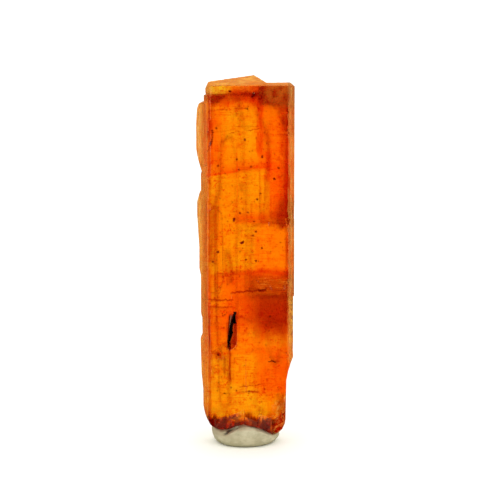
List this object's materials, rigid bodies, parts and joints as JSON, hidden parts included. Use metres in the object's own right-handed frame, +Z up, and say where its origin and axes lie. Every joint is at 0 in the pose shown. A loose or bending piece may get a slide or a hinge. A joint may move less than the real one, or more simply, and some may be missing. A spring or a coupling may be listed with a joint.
{
  "type": "orange kyanite crystal",
  "caption": "Bladed orange kyanite crystal, gem-clear with partings and a cleft, standing upright in a small dab of mounting putty.",
  "frame": {"origin": "on the surface that the putty rests on, under the middle of the bounding box", "axes": "+Z up along the blade, -Y out of the broad front face, +X to the right when that face is looked at"},
  "size_m": [0.0095, 0.0063, 0.0361],
  "materials": {
    "kyanite": "gem-clear vitreous mineral, honey orange to red-orange in depth; growth faces bright with fine upright growth lines, broken ends and side flakes satin",
    "putty": "soft grey mounting putty with a faint green tint, dull, with pressed dents"
  },
  "bodies": {
    "root": {"kyanite_crystal": "kyanite", "mounting_putty": "putty"}
  },
  "joints": []
}
